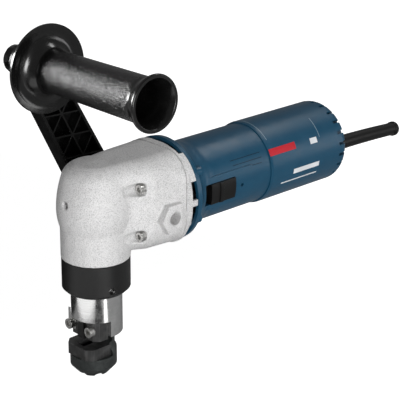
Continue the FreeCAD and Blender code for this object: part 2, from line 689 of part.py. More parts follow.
tab = block(guideFront - tabThick, guideFront, 8.2, 17.8, guideScrewZ - 5, carrierStep - 0.2)
tongue = block(guideFront - tabThick, guideFront, 15.2, 17.8, guideScrewZ, guideScrewZ + 13)
save("lock_tab", fuse([tab, tongue]).cut(bar("x", 2.5, -30, 0, 12.5, guideScrewZ)))
grub = bar("x", 4, neckBack, 21.4, 0, guideScrewZ)
save("die_grub_screw", grub.cut(hexBar("x", 4, 18, 22, 0, guideScrewZ)))
insertFront = -23.2
insertHalf = 16.6
insertCut = 5.5           # corner chamfer of the insert
insertScrewX = -9.0
insertScrewY = 11.5
insertHeadTop = 12.0


def dieShoe():
    """Round lower jaw with a web behind the blade; the waste drops through its window."""
    foot = turned([(0, 0), (13.0, 0), (dieR, 8), (dieR, dieSeat), (0, dieSeat)], V(dieX, 0, 0), ALONG_Z)
    rise = turned([(0, dieSeat - 1), (dieR, dieSeat - 1), (dieR, dieSeat + 1.5), (14.5, dieTop), (0, dieTop)],
                  V(dieX + 2.5, 0, 0), ALONG_Z)
    rise = rise.common(block(neckFront, 30, -30, 30, 0, 60)).common(bar("z", dieR, 0, 60, dieX, 0))
    web = block(neckFront, neckBack, -neckHalf, neckHalf, dieSeat - 2, neckTop)
    body = fuse([foot, rise, web])
    cuts = [block(bladeFront - 1, bladeBack + 1, -5, 5, -1, dieSeat + 1)]
    for y in (-insertScrewY, insertScrewY):
        cuts.append(bar("z", 2.0, -1, dieSeat + 1, insertScrewX, y))
        cuts.append(bar("z", 3.6, -1, insertHeadTop, insertScrewX, y))
    return body.cut(cuts)


save("die_shoe", dieShoe())


def dieInsert():
    corners = [(neckFront - 0.1, -insertHalf), (insertFront + insertCut, -insertHalf), (insertFront, insertCut - insertHalf)]
    corners += [(x, -y) for x, y in reversed(corners)]
    body = polygon([V(x, y, dieSeat) for x, y in corners]).extrude(ALONG_Z * (dieTop - dieSeat))
    gap = 0.15
    window = block(bladeFront - gap, bladeBack + gap, -bladeHalf - gap, bladeHalf + gap, 0, 100)
    return body.cut([window] + [bar("z", 2.0, 0, dieSeat + 7, insertScrewX, y) for y in (-insertScrewY, insertScrewY)])


save("die_insert", dieInsert())
insertScrews = []
for y in (-insertScrewY, insertScrewY):
    head = bar("z", 3.4, insertHeadTop - 4, insertHeadTop, insertScrewX, y)
    head = head.cut(bar("z", 1.6, insertHeadTop - 5, insertHeadTop - 2, insertScrewX, y))
    insertScrews.append(fuse([head, bar("z", 2.0, insertHeadTop - 1, dieSeat + 6, insertScrewX, y)]))
save("die_insert_screws", group(insertScrews))

# ---- auxiliary handle ---------------------------------------------------------------------
armBack = armY + armThick
armWay = V(barX - sideBossX, 0, barZ - sideBossZ)
armLong = armWay.Length
armWay.normalize()
armSide = V(armWay.z, 0, -armWay.x)
footR = 20.2
topR = 16.6
ribWide = 1.4
wallWide = 2.6
firstNode = 18.0          # the ribs cross on the centre line of the arm, in triangles
nodePitch = 23.4


def armAt(along, across, y=armY):
    return V(sideBossX, y, sideBossZ) + armWay * along + armSide * across


def armHalf(along):
    return footR + (topR - footR) * along / armLong


def armPlate(inset, y0, y1):
    """Tapered arm with round ends, drawn in by inset."""
    a, b = footR - inset, topR - inset
    face = polygon([armAt(0, -a, y0), armAt(armLong, -b, y0), armAt(armLong, b, y0), armAt(0, a, y0)])
    plate = face.extrude(ALONG_Y * (y1 - y0))
    ends = [bar("y", a, y0, y1, sideBossX, sideBossZ), bar("y", b, y0, y1, barX, barZ)]
    return fuse([plate] + ends)


def ribBetween(p, q, y0, y1):
    """Straight rib from p to q, each (along, across) on the arm."""
    start, end = armAt(p[0], p[1], y0), armAt(q[0], q[1], y0)
    way = end - start
    side = V(way.z, 0, -way.x).normalize() * (ribWide / 2)
    return polygon([start - side, end - side, end + side, start + side]).extrude(ALONG_Y * (y1 - y0))


def handleBracket():
    body = armPlate(0, armY, armBack)
    pocket = armPlate(wallWide, armY - 1, armBack - 3)
    ribs = [ribBetween((0, 0), (armLong, 0), armY + 0.4, armBack - 2)]
    for k in range(6):
        node = firstNode + nodePitch * k
        wide = armHalf(node)
        rise = wide / math.tan(math.radians(60))
        ribs.append(ribBetween((node - rise, -wide), (node + rise, wide), armY + 0.4, armBack - 2))
        ribs.append(ribBetween((node + rise, -wide), (node - rise, wide), armY + 0.4, armBack - 2))
    hubs = [bar("y", 14.5, armY, armBack - 1, sideBossX, sideBossZ), bar("y", 11, armY, armBack - 1, barX, barZ)]
    inside = fuse(ribs + hubs).common(armPlate(wallWide / 2, armY, armBack))
    body = fuse([body.cut(pocket), inside])
    return body.cut([bar("y", 7.05, 0, 90, sideBossX, sideBossZ), bar("y", 4, 0, 90, barX, barZ)])


save("handle_bracket", handleBracket())
washerY = armBack + 0.1
washer = pipe("y", 13, 7, washerY, washerY + 2, sideBossX, sideBossZ)
save("bracket_washer", washer)
bracketBolt = fuse([
    hexBar("y", 21, washerY + 2, washerY + 10, sideBossX, sideBossZ),
    bar("y", 7 - 0.01, sideBossY + 0.1, washerY + 3, sideBossX, sideBossZ),
    bar("y", sideThreadR, sideBossY - sideThreadDepth + 1.5, sideBossY + 1, sideBossX, sideBossZ),
])
save("bracket_bolt", bracketBolt)


dishStart = 9.4           # back of the guard dish, measured from the bracket
gripFarR = 17.7
gripNearR = 18.6
gripBoreR = 14.6
gripFloor = 25.4          # floor of the bore
boltSeat = 17.0           # seat of the bolt head, under the floor
boltSeatR = 8.2
boltFit = 4.0
mouthR = 22.6
mouth = 145.8             # open end of the grip


def handleGrip():
    """Guard dish, hollow tube and flared mouth, turned about the grip axis; along runs from the bracket to the mouth."""
    def at(r, t):
        return V(barX + r, armY - t, barZ)
    edges = [
        Part.makeLine(at(boltFit, 0), at(13.5, 0)),
        Part.makeLine(at(13.5, 0), at(13.5, dishStart)),
        Part.makeLine(at(13.5, dishStart), at(23, dishStart)),
        Part.Arc(at(23, dishStart), at(31, dishStart + 1.2), at(guardR, dishStart + 4.2)).toShape(),
        Part.makeLine(at(guardR, dishStart + 4.2), at(guardR, dishStart + 6.6)),
        Part.makeLine(at(guardR, dishStart + 6.6), at(33.5, dishStart + 6.0)),
        Part.Arc(at(33.5, dishStart + 6.0), at(26, dishStart + 5.2), at(21.5, dishStart + 7.5)).toShape(),
        Part.Arc(at(21.5, dishStart + 7.5), at(18.5, dishStart + 11), at(gripFarR, dishStart + 19)).toShape(),
        Part.makeLine(at(gripFarR, dishStart + 19), at(gripNearR, mouth - 13)),
        Part.Arc(at(gripNearR, mouth - 13), at(19.4, mouth - 8), at(mouthR, mouth - 3.4)).toShape(),
        Part.Arc(at(mouthR, mouth - 3.4), at(mouthR + 0.6, mouth - 1.6), at(mouthR, mouth)).toShape(),
        Part.makeLine(at(mouthR, mouth), at(mouthR - 2.4, mouth)),
        Part.Arc(at(mouthR - 2.4, mouth), at(16.4, mouth - 8), at(gripBoreR, mouth - 15)).toShape(),
        Part.makeLine(at(gripBoreR, mouth - 15), at(gripBoreR, gripFloor)),
        Part.makeLine(at(gripBoreR, gripFloor), at(boltSeatR, gripFloor)),
        Part.makeLine(at(boltSeatR, gripFloor), at(boltSeatR, boltSeat)),
        Part.makeLine(at(boltSeatR, boltSeat), at(boltFit, boltSeat)),
        Part.makeLine(at(boltFit, boltSeat), at(boltFit, 0)),
    ]
    return Part.Face(Part.Wire(edges)).revolve(V(barX, 0, barZ), ALONG_Y, 360)


save("handle_grip", handleGrip())
knobY = armBack + 0.4
gripBolt = fuse([
    hexBar("y", 13, armY - boltSeat - 5.5, armY - boltSeat, barX, barZ),
    bar("y", boltFit - 0.01, armY - boltSeat - 1, knobY + 10, barX, barZ),
])
save("grip_bolt", gripBolt)

knobFlats = 25.5
knobLong = 14.0
knobTurn = 18.0
scallopR = 12.0


def clampKnob():
    """Six-sided nut of moulded plastic with hollowed faces, on the end of the grip bolt."""
    body = hexBar("y", knobFlats, knobY, knobY + knobLong, barX, barZ)
    body = body.common(Part.makeCone(knobFlats * 0.6, knobFlats * 0.46, knobLong, V(barX, knobY, barZ), ALONG_Y))
    away = knobFlats / 2 + scallopR - 1.2
    hollows = []
    for k in range(6):
        turn = math.radians(60 * k)
        hollows.append(bar("y", scallopR, knobY - 1, knobY + 20, barX + away * math.cos(turn), barZ + away * math.sin(turn)))
    body = body.cut(hollows)
    body.rotate(V(barX, 0, barZ), ALONG_Y, -knobTurn)
    return body.cut(bar("y", boltFit + runFit, knobY - 1, knobY + 10.5, barX, barZ))


save("clamp_knob", clampKnob())
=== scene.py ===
import json
import math
import bpy
from mathutils import Euler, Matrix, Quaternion, Vector


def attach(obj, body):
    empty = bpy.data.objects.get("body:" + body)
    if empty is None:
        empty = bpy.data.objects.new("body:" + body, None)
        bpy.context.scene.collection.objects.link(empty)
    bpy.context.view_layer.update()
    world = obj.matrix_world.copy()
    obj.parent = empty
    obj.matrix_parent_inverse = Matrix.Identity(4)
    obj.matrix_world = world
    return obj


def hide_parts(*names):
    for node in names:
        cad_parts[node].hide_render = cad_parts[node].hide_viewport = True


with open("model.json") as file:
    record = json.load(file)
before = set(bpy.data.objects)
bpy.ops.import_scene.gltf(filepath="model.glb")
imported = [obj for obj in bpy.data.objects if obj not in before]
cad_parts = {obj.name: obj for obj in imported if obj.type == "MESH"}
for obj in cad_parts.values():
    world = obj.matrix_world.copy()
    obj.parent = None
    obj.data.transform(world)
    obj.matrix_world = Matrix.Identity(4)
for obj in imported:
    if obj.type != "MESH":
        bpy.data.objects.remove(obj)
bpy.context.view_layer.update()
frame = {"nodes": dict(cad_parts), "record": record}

bodyOf = {}
for bodyName, members in frame["record"]["behaviour"]["bodies"].items():
    for member in members:
        bodyOf[member] = bodyName
slotOf = {part["node"]: part["material_slot"] for part in frame["record"]["subparts"]}
motorZ = 0.147  # height of the motor's axis
print("frame loaded")


# camera, floor and light
cameraValues = {"azimuth": -43.74, "elevation": 20.929, "roll": 0.472, "distance": 1.2,
                "aim": (0.07018, -0.05283, 0.15201), "lens": 129.14}
studioValues = {"floor": 8.0, "floorZ": -0.0004, "floorColour": 0.5, "floorGlow": 1.0, "world": 0.22,
                "leftPower": 3.0, "frontPower": 26.0, "rightPower": 3.0, "topPower": 6.0, "gripPower": 46.0,
                "middle": (0.06, 0.0, 0.16), "gripMiddle": (-0.02, -0.03, 0.265),
                "cardZ": 0.0003, "cardGlow": 0.75, "cardPale": 0.8, "cardBlack": 0.004}


def placeCamera(v):
    turn, lift = math.radians(v["azimuth"]), math.radians(v["elevation"])
    back = Vector((math.sin(turn) * math.cos(lift), -math.cos(turn) * math.cos(lift), math.sin(lift)))
    data = bpy.data.cameras.new("camera")
    data.lens = v["lens"]
    data.clip_end = 30
    camera = bpy.data.objects.new("camera", data)
    bpy.context.scene.collection.objects.link(camera)
    camera.location = Vector(v["aim"]) + back * v["distance"]
    level = Euler((math.radians(90) - lift, 0, turn)).to_quaternion()
    camera.rotation_euler = (level @ Quaternion((0, 0, 1), math.radians(v["roll"]))).to_euler()
    bpy.context.scene.camera = camera


def areaLight(name, spot, target, size, power):
    data = bpy.data.lights.new(name, "AREA")
    data.shape = "RECTANGLE"
    data.size, data.size_y = size
    data.energy = power
    lamp = bpy.data.objects.new(name, data)
    bpy.context.scene.collection.objects.link(lamp)
    lamp.location = spot
    lamp.rotation_euler = (Vector(target) - Vector(spot)).to_track_quat("-Z", "Y").to_euler()


def studioPaint(name, colour, glow):
    paint = bpy.data.materials.new(name)
    paint.use_nodes = True
    shader = paint.node_tree.nodes["Principled BSDF"]
    shader.inputs["Base Color"].default_value = (colour, colour, colour, 1)
    shader.inputs["Roughness"].default_value = 0.9
    shader.inputs["Emission Color"].default_value = (1, 1, 1, 1)
    shader.inputs["Emission Strength"].default_value = glow
    return paint


def floorPaint(colour, glow):
    paint = studioPaint("floorPaint", colour, 0.0)
    tree = paint.node_tree
    rays = tree.nodes.new("ShaderNodeLightPath")
    bright = tree.nodes.new("ShaderNodeMath")
    bright.operation = "MULTIPLY"
    bright.inputs[1].default_value = glow  # seen directly the floor is white, to the object it is a grey card
    tree.links.new(rays.outputs["Is Camera Ray"], bright.inputs[0])
    tree.links.new(bright.outputs[0], tree.nodes["Principled BSDF"].inputs["Emission Strength"])
    return paint


def floorCard(name, spot, size, colour, glow, turn=0.0):
    bpy.ops.object.select_all(action="DESELECT")
    bpy.ops.mesh.primitive_plane_add(size=1.0, location=(*spot, studioValues["cardZ"]),
                                     rotation=(0, 0, math.radians(turn)))
    card = bpy.context.object
    card.name = name
    card.scale = (size[0], size[1], 1)
    card.visible_camera = False  # only the steel sees the cards, as bright and dark bands
    card.data.materials.append(studioPaint(name + "Paint", colour, glow))


def studio(v):
    bpy.ops.object.select_all(action="DESELECT")
    bpy.ops.mesh.primitive_plane_add(size=v["floor"], location=(0, 0, v["floorZ"]))
    floor = bpy.context.object
    floor.name = "floor"
    floor.data.materials.append(floorPaint(v["floorColour"], v["floorGlow"]))
    world = bpy.data.worlds.new("studio")
    world.use_nodes = True
    world.node_tree.nodes["Background"].inputs["Color"].default_value = (1, 1, 1, 1)
    world.node_tree.nodes["Background"].inputs["Strength"].default_value = v["world"]
    bpy.context.scene.world = world
    bpy.context.scene.view_settings.view_transform = "Standard"
    middle = v["middle"]
    areaLight("leftLight", (-1.35, 1.15, 0.48), middle, (0.4, 0.5), v["leftPower"])
    areaLight("frontLight", (-0.70, -1.65, 0.34), middle, (0.7, 0.7), v["frontPower"])
    areaLight("gripLight", (-1.02, 0.92, 0.57), v["gripMiddle"], (0.8, 0.5), v["gripPower"])
    areaLight("rightLight", (1.30, -1.00, 0.30), middle, (0.4, 0.7), v["rightPower"])
    areaLight("topLight", (1.10, -0.15, 1.45), middle, (0.9, 0.35), v["topPower"])
    floorCard("cardBright", (-0.30, -0.02), (0.34, 0.40), v["cardPale"], v["cardGlow"])
    floorCard("cardDark", (-0.17, -0.265), (0.075, 0.42), v["cardBlack"], 0.0, -33)
    floorCard("cardNarrow", (-0.02, -0.33), (0.035, 0.42), v["cardPale"], v["cardGlow"] * 2.2, -4)
    floorCard("cardBack", (0.03, 0.33), (0.5, 0.42), v["cardBlack"], 0.0)


placeCamera(cameraValues)
studio(studioValues)
print("camera and studio ready")


# finishes: every one is built from noise on object coordinates, in metres
def newFinish(name, colour, metallic, roughness):
    finish = bpy.data.materials.new(name)
    finish.use_nodes = True
    tree = finish.node_tree
    shader = tree.nodes["Principled BSDF"]
    shader.inputs["Base Color"].default_value = (*colour, 1)
    shader.inputs["Metallic"].default_value = metallic
    shader.inputs["Roughness"].default_value = roughness
    return finish, tree, shader


def place(tree, stretch=(1, 1, 1)):
    coords = tree.nodes.new("ShaderNodeTexCoord")
    mapping = tree.nodes.new("ShaderNodeMapping")
    mapping.inputs["Scale"].default_value = stretch
    tree.links.new(coords.outputs["Object"], mapping.inputs["Vector"])
    return mapping.outputs["Vector"]


def noise(tree, where, scale, detail=2.0, roughness=0.5):
    node = tree.nodes.new("ShaderNodeTexNoise")
    node.inputs["Scale"].default_value = scale
    node.inputs["Detail"].default_value = detail
    node.inputs["Roughness"].default_value = roughness
    tree.links.new(where, node.inputs["Vector"])
    return node.outputs["Fac"]


def spread(tree, value, low, high, fromLow=0.3, fromHigh=0.7):
    node = tree.nodes.new("ShaderNodeMapRange")
    node.inputs["From Min"].default_value = fromLow
    node.inputs["From Max"].default_value = fromHigh
    node.inputs["To Min"].default_value = low
    node.inputs["To Max"].default_value = high
    tree.links.new(value, node.inputs["Value"])
    return node.outputs["Result"]


def tint(tree, value, dark, light, fromLow=0.3, fromHigh=0.7):
    ramp = tree.nodes.new("ShaderNodeValToRGB")
    ramp.color_ramp.elements[0].position = fromLow
    ramp.color_ramp.elements[0].color = (*dark, 1)
    ramp.color_ramp.elements[1].position = fromHigh
    ramp.color_ramp.elements[1].color = (*light, 1)
    tree.links.new(value, ramp.inputs["Fac"])
    return ramp.outputs["Color"]


def relief(tree, shader, height, depth, strength=1.0, under=None):
    bump = tree.nodes.new("ShaderNodeBump")
    bump.inputs["Strength"].default_value = strength
    bump.inputs["Distance"].default_value = depth
    tree.links.new(height, bump.inputs["Height"])
    if under:
        tree.links.new(under, bump.inputs["Normal"])
    tree.links.new(bump.outputs["Normal"], shader.inputs["Normal"])
    return bump.outputs["Normal"]


def blend(tree, mask, first, second):
    mix = tree.nodes.new("ShaderNodeMix")
    mix.data_type = "RGBA"
    tree.links.new(mask, mix.inputs["Factor"])
    tree.links.new(first, mix.inputs["A"])
    tree.links.new(second, mix.inputs["B"])
    return mix.outputs["Result"]


def castAlloy():
    v = {"dark": (0.24, 0.24, 0.24), "middle": (0.64, 0.64, 0.64), "light": (0.77, 0.765, 0.765), "grain": 1500,
         "mottle": 140, "wideShare": 0.55, "depth": 0.0006}
    finish, tree, shader = newFinish("castAlloy", v["light"], 0.15, 0.5)
    where = place(tree)
    grain = noise(tree, where, v["grain"], 3, 0.7)
    mottle = noise(tree, where, v["mottle"], 4, 0.6)
    fine = tint(tree, grain, v["dark"], v["light"], 0.36, 0.54)
    wide = tint(tree, mottle, v["middle"], v["light"], 0.35, 0.6)
    mask = tree.nodes.new("ShaderNodeMath")
    mask.operation = "MULTIPLY"
    mask.inputs[1].default_value = v["wideShare"]
    tree.links.new(mottle, mask.inputs[0])
    tree.links.new(blend(tree, mask.outputs[0], fine, wide), shader.inputs["Base Color"])
    tree.links.new(spread(tree, grain, 0.3, 0.55), shader.inputs["Roughness"])
    under = relief(tree, shader, mottle, v["depth"], 0.35)
    relief(tree, shader, grain, v["depth"], 0.75, under)
    return finish


plasticValues = {"shine": 0.25, "wide": 60}


def mouldedPlastic(name, dark, light, roughness, grain, depth, strength=0.4):
    finish, tree, shader = newFinish(name, light, 0, roughness)
    shader.inputs["Specular IOR Level"].default_value = plasticValues["shine"]
    where = place(tree)
    fine = noise(tree, where, grain, 2, 0.5)
    wide = noise(tree, where, plasticValues["wide"], 3, 0.5)
    tree.links.new(tint(tree, wide, dark, light), shader.inputs["Base Color"])
    tree.links.new(spread(tree, wide, roughness - 0.05, roughness + 0.06), shader.inputs["Roughness"])
    relief(tree, shader, fine, depth, strength)
    return finish


def pebbledPlastic():
    v = {"dark": (0.002, 0.002, 0.002), "light": (0.0045, 0.0045, 0.0045), "roughness": 0.2, "pebble": 1150,
         "depth": 0.0008, "from": -0.086, "fromFade": 0.003, "to": 0.021, "toFade": 0.008}  # pebbled along the tube
    finish, tree, shader = newFinish("pebbledPlastic", v["light"], 0, v["roughness"])
    where = place(tree)
    wide = noise(tree, where, plasticValues["wide"], 3, 0.5)
    tree.links.new(tint(tree, wide, v["dark"], v["light"]), shader.inputs["Base Color"])
    split = tree.nodes.new("ShaderNodeSeparateXYZ")
    tree.links.new(where, split.inputs["Vector"])
    start = spread(tree, split.outputs["Y"], 0.0, 1.0, v["from"], v["from"] + v["fromFade"])
    stop = spread(tree, split.outputs["Y"], 1.0, 0.0, v["to"] - v["toFade"], v["to"])
    both = tree.nodes.new("ShaderNodeMath")
    both.operation = "MULTIPLY"
    tree.links.new(start, both.inputs[0])
    tree.links.new(stop, both.inputs[1])
    height = tree.nodes.new("ShaderNodeMath")
    height.operation = "MULTIPLY"
    tree.links.new(both.outputs[0], height.inputs[0])
    tree.links.new(noise(tree, where, v["pebble"], 1, 0.4), height.inputs[1])
    relief(tree, shader, height.outputs[0], v["depth"], 0.9)
    return finish


steelValues = {"along": 18, "across": 2600, "stains": 160, "lineDepth": 0.00006, "forgedStains": 220}


def turnedSteel(name, dark, light, roughness, axis, metallic=1.0):
    stretch = [steelValues["along"]] * 3
    stretch["xyz".index(axis)] = steelValues["across"]
    finish, tree, shader = newFinish(name, light, metallic, roughness)
    lines = noise(tree, place(tree, stretch), 1.0, 4, 0.7)
    stains = noise(tree, place(tree), steelValues["stains"], 4, 0.6)
    tree.links.new(blend(tree, stains, tint(tree, lines, dark, light, 0.3, 0.65), tint(tree, stains, dark, light)),
                   shader.inputs["Base Color"])
    tree.links.new(spread(tree, stains, roughness - 0.06, roughness + 0.1), shader.inputs["Roughness"])
    relief(tree, shader, lines, steelValues["lineDepth"], 0.35)
    return finish


def forgedSteel(name, dark, light, metallic, roughness, grain, depth):
    finish, tree, shader = newFinish(name, light, metallic, roughness)
    where = place(tree)
    fine = noise(tree, where, grain, 4, 0.65)
    wide = noise(tree, where, steelValues["forgedStains"], 3, 0.6)
    tree.links.new(blend(tree, wide, tint(tree, fine, dark, light), tint(tree, wide, dark, light)),
                   shader.inputs["Base Color"])
    tree.links.new(spread(tree, fine, roughness - 0.08, roughness + 0.12), shader.inputs["Roughness"])
    relief(tree, shader, fine, depth, 0.5)
    return finish


finishes = {
    "cast_alloy": castAlloy(),
    "blue_plastic": mouldedPlastic("bluePlastic", (0.008, 0.056, 0.106), (0.011, 0.066, 0.122), 0.33, 2600,
                                   0.00008, 0.3),
    "black_plastic": mouldedPlastic("blackPlastic", (0.0015, 0.0015, 0.0015), (0.003, 0.003, 0.003), 0.3, 1500, 0.0001),
    "switch_plastic": mouldedPlastic("switchPlastic", (0.003, 0.003, 0.003), (0.006, 0.006, 0.006), 0.38, 2200, 0.0001),
    "inner_plastic": mouldedPlastic("innerPlastic", (0.03, 0.03, 0.03), (0.06, 0.06, 0.06), 0.5, 1500, 0.0001),
    "rubber_black": mouldedPlastic("blackRubber", (0.0012, 0.0012, 0.0012), (0.0025, 0.0025, 0.0025), 0.45, 1800,
                                   0.0001),
    "black_oxide": forgedSteel("blackOxide", (0.002, 0.002, 0.002), (0.005, 0.005, 0.005), 0.15, 0.42, 1500, 0.00005),
    "bright_steel": turnedSteel("brightSteel", (0.62, 0.62, 0.62), (0.88, 0.88, 0.87), 0.14, "z"),
    "tool_steel": turnedSteel("toolSteel", (0.045, 0.045, 0.045), (0.14, 0.14, 0.14), 0.34, "x", 0.8),
    "dark_steel": forgedSteel("phosphatedSteel", (0.018, 0.021, 0.021), (0.055, 0.061, 0.060), 0.45, 0.42, 1400,
                              0.0001),
    "screw_steel": turnedSteel("zincSteel", (0.40, 0.40, 0.39), (0.78, 0.77, 0.75), 0.25, "x"),
    "gear_steel": turnedSteel("gearSteel", (0.30, 0.30, 0.30), (0.62, 0.61, 0.60), 0.3, "x"),
    "bearing_steel": turnedSteel("bearingSteel", (0.50, 0.50, 0.50), (0.80, 0.80, 0.80), 0.18, "x"),
    "bronze": forgedSteel("sinteredBronze", (0.30, 0.17, 0.06), (0.52, 0.33, 0.14), 0.9, 0.4, 1600, 0.0001),
    "lamination": turnedSteel("laminatedSteel", (0.10, 0.10, 0.10), (0.32, 0.32, 0.32), 0.45, "x", 0.8),
    "copper": forgedSteel("enamelledCopper", (0.30, 0.09, 0.03), (0.60, 0.24, 0.10), 0.8, 0.35, 900, 0.0002),
    "carbon": forgedSteel("pressedCarbon", (0.01, 0.01, 0.01), (0.04, 0.04, 0.04), 0.1, 0.6, 1500, 0.0001),
}
for nodeName, node in frame["nodes"].items():
    node.data.materials.clear()
    node.data.materials.append(finishes[slotOf[nodeName]])
print("finishes ready")


# helpers for the pieces
def beginMesh(name):
    bpy.ops.object.select_all(action="DESELECT")
    print("making", name)


def applyModifier(piece, kind, **settings):
    modifier = piece.modifiers.new(kind.lower(), kind)
    for key, value in settings.items():
        setattr(modifier, key, value)
    bpy.context.view_layer.objects.active = piece
    bpy.ops.object.modifier_apply(modifier=modifier.name)


def copyOf(nodeName, pieceName):
    beginMesh(pieceName)
    source = frame["nodes"][nodeName]
    piece = bpy.data.objects.new(pieceName, source.data.copy())
    bpy.context.scene.collection.objects.link(piece)
    piece.select_set(True)
    bpy.context.view_layer.objects.active = piece
    bpy.ops.object.mode_set(mode="EDIT")
    bpy.ops.mesh.select_all(action="SELECT")
    bpy.ops.mesh.remove_doubles(threshold=0.00001)
    bpy.ops.object.mode_set(mode="OBJECT")
    return piece


def settle(piece, bodyName, finish, angle=35):
    bpy.ops.object.select_all(action="DESELECT")
    piece.select_set(True)
    bpy.context.view_layer.objects.active = piece
    bpy.ops.object.transform_apply(location=True, rotation=True, scale=True)
    bpy.ops.object.shade_smooth_by_angle(angle=math.radians(angle))
    piece.data.materials.clear()
    piece.data.materials.append(finish)
    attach(piece, bodyName)


def softened(nodeName, width, finish=None):
    piece = copyOf(nodeName, nodeName + "_finished")
    bpy.ops.object.mode_set(mode="EDIT")
    bpy.ops.mesh.select_all(action="SELECT")
    bpy.ops.mesh.dissolve_limited(angle_limit=math.radians(0.8))
    bpy.ops.object.mode_set(mode="OBJECT")
    applyModifier(piece, "BEVEL", width=width, segments=2, limit_method="ANGLE", angle_limit=math.radians(32),
                  miter_outer="MITER_ARC", use_clamp_overlap=True)
    slotName = slotOf[nodeName]
    settle(piece, bodyOf[nodeName], finish or finishes[slotName])
    bpy.ops.object.select_all(action="DESELECT")
    piece.select_set(True)
    applyModifier(piece, "WEIGHTED_NORMAL", weight=50, keep_sharp=True)
    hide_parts(nodeName)


# gear housing: the casting's edges are rounded, except at its machined joint
housingValues = {"voxel": 0.0008, "smooth": 0.5, "passes": 5, "triangles": 150000, "jointX": 0.0602,
                 "notch": (0.004, 0.005, 0.0025), "notches": [(0.062, -0.0415, 0.1815), (0.062, -0.0395, 0.1165)]}


def cutter(name, spot, size, turn=0.0):
    beginMesh(name)
    bpy.ops.mesh.primitive_cube_add(size=1.0, location=spot)
    tool = bpy.context.object
    tool.name = name
    tool.dimensions = size
    bpy.ops.object.transform_apply(location=False, rotation=False, scale=True)
    tool.rotation_euler = (turn, 0, 0)
    bpy.ops.object.transform_apply(location=False, rotation=True, scale=False)
    return tool


def carve(piece, tool):
    applyModifier(piece, "BOOLEAN", operation="DIFFERENCE", object=tool, solver="EXACT")
    bpy.data.objects.remove(tool)


def gearHousingPiece(v):
    piece = copyOf("gear_housing", "gear_housing_casting")
    for spot in v["notches"]:
        turn = math.atan2(spot[2] - motorZ, -spot[1])
        carve(piece, cutter("pryNotch", spot, v["notch"], -turn))
    applyModifier(piece, "REMESH", mode="VOXEL", voxel_size=v["voxel"])
    group = piece.vertex_groups.new(name="castEdges")
    cast = [vertex.index for vertex in piece.data.vertices if vertex.co.x < v["jointX"]]
    group.add(cast, 1.0, "REPLACE")
    applyModifier(piece, "SMOOTH", factor=v["smooth"], iterations=v["passes"], vertex_group="castEdges")
    ratio = min(1.0, v["triangles"] / (2.0 * len(piece.data.polygons)))
    applyModifier(piece, "DECIMATE", ratio=ratio)
    settle(piece, "tool_body", finishes["cast_alloy"], 40)
    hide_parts("gear_housing")


gearHousingPiece(housingValues)
print("gear housing ready")

# machined and moulded pieces with broken edges; width in metres
edgeWidths = {"bearing_flange": 0.0002, "motor_housing": 0.0004, "rear_cover": 0.0005, "switch_slider": 0.0006,
              "handle_bracket": 0.0005, "clamp_knob": 0.0012, "lock_ring": 0.0005, "die_carrier": 0.0003,
              "punch_guides": 0.0003, "guide_screws": 0.0004, "punch": 0.0002, "die_shoe": 0.0006,
              "die_insert": 0.0003, "die_insert_screws": 0.0003, "housing_screws": 0.0004, "lock_tab": 0.0001,
              "bracket_washer": 0.0003, "bracket_bolt": 0.0005, "rear_cover_screws": 0.0003, "handle_grip": 0.0003}
ownFinish = {"handle_grip": pebbledPlastic()}
for nodeName, width in edgeWidths.items():
    softened(nodeName, width, ownFinish.get(nodeName))
print("softened pieces ready")


# hexagonal boss of the side handle thread, machined after casting, on the switch side
bossValues = {"x": 0.0475, "z": 0.1394, "face": -0.0481, "back": -0.034, "flats": 0.0252, "bore": 0.0064,
              "edge": 0.0005, "pitch": 0.0023, "turns": 6, "steps": 40, "coilStart": -0.0474}


def handleBoss(v):
    beginMesh("boss_hexagon")
    middle = (v["x"], (v["face"] + v["back"]) / 2, v["z"])
    bpy.ops.mesh.primitive_cylinder_add(vertices=6, radius=v["flats"] / math.sqrt(3), depth=v["back"] - v["face"],
                                        location=middle)
    boss = bpy.context.object
    boss.rotation_euler = (math.radians(90), math.radians(30), 0)
    boss.name = "boss_hexagon"
    bpy.ops.object.transform_apply(location=True, rotation=True, scale=True)
    bpy.ops.object.select_all(action="DESELECT")
    bpy.ops.mesh.primitive_cylinder_add(vertices=64, radius=v["bore"], depth=0.04,
                                        location=(v["x"], v["face"], v["z"]), rotation=(math.radians(90), 0, 0))
    carve(boss, bpy.context.object)
    applyModifier(boss, "BEVEL", width=v["edge"], segments=2, limit_method="ANGLE", angle_limit=math.radians(35))
    settle(boss, "tool_body", finishes["cast_alloy"])


def threadCoil(v):
    beginMesh("boss_thread")
    bpy.ops.mesh.primitive_circle_add(vertices=3, radius=v["pitch"] * 0.36, location=(v["bore"] - 0.0002, 0, 0),
                                      rotation=(math.radians(90), 0, 0))
    coil = bpy.context.object
    coil.name = "boss_thread"
    bpy.ops.object.transform_apply(location=True, rotation=True, scale=True)
    applyModifier(coil, "SCREW", axis="Z", angle=math.radians(360), screw_offset=v["pitch"],
                  iterations=v["turns"], steps=v["steps"], render_steps=v["steps"])
    coil.rotation_euler = (math.radians(-90), 0, 0)
    coil.location = (v["x"], v["coilStart"], v["z"])
    settle(coil, "tool_body", finishes["cast_alloy"], 30)


handleBoss(bossValues)
threadCoil(bossValues)
print("handle boss ready")

# painted shade: black cups, one in the blind hole of the head, one behind the thread, stand in for the shade inside
# them
shadeCupValues = {
    "vent_shade_cup": {"spot": (-0.0303, 0, 0.1581), "radius": 0.00335, "depth": 0.0050, "axis": (1, 0, 0), "wall": 0.0002},
    "thread_shade_cup": {"spot": (0.0475, -0.0470, 0.1394), "radius": 0.00645, "depth": 0.0130, "axis": (0, 1, 0),
                   "wall": 0.0002},
}


